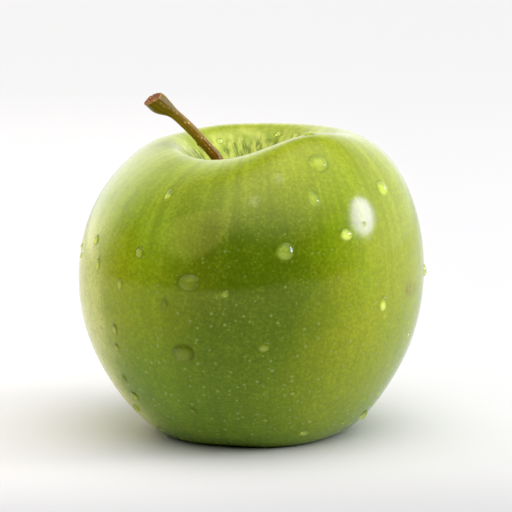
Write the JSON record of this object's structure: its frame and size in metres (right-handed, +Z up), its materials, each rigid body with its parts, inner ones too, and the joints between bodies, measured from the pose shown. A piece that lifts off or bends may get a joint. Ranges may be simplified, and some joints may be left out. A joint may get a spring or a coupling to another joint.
{
  "type": "green apple",
  "caption": "Round green apple with a high shoulder, a deep stalk cavity, a bent stalk that ends in a knob, and a dried calyx in the basin it stands on.",
  "frame": {"origin": "on the surface the apple rests on, under the middle of the fruit's bounding box", "axes": "+Z up from the resting plane through the stalk cavity; the stalk leans towards -X and the high shoulder is towards +X, as seen from -Y"},
  "size_m": [0.08, 0.0816, 0.0788],
  "materials": {
    "peel": "waxy green apple skin with pale dots, moderately glossy",
    "stalk_bark": "olive to red-brown woody stalk, satin, with a rough orange-brown cut",
    "dried_calyx": "dry brown sepals, matte",
    "water": "clear drops of water"
  },
  "bodies": {
    "root": {"fruit": "peel", "stalk": "stalk_bark", "calyx": "dried_calyx"}
  },
  "joints": []
}
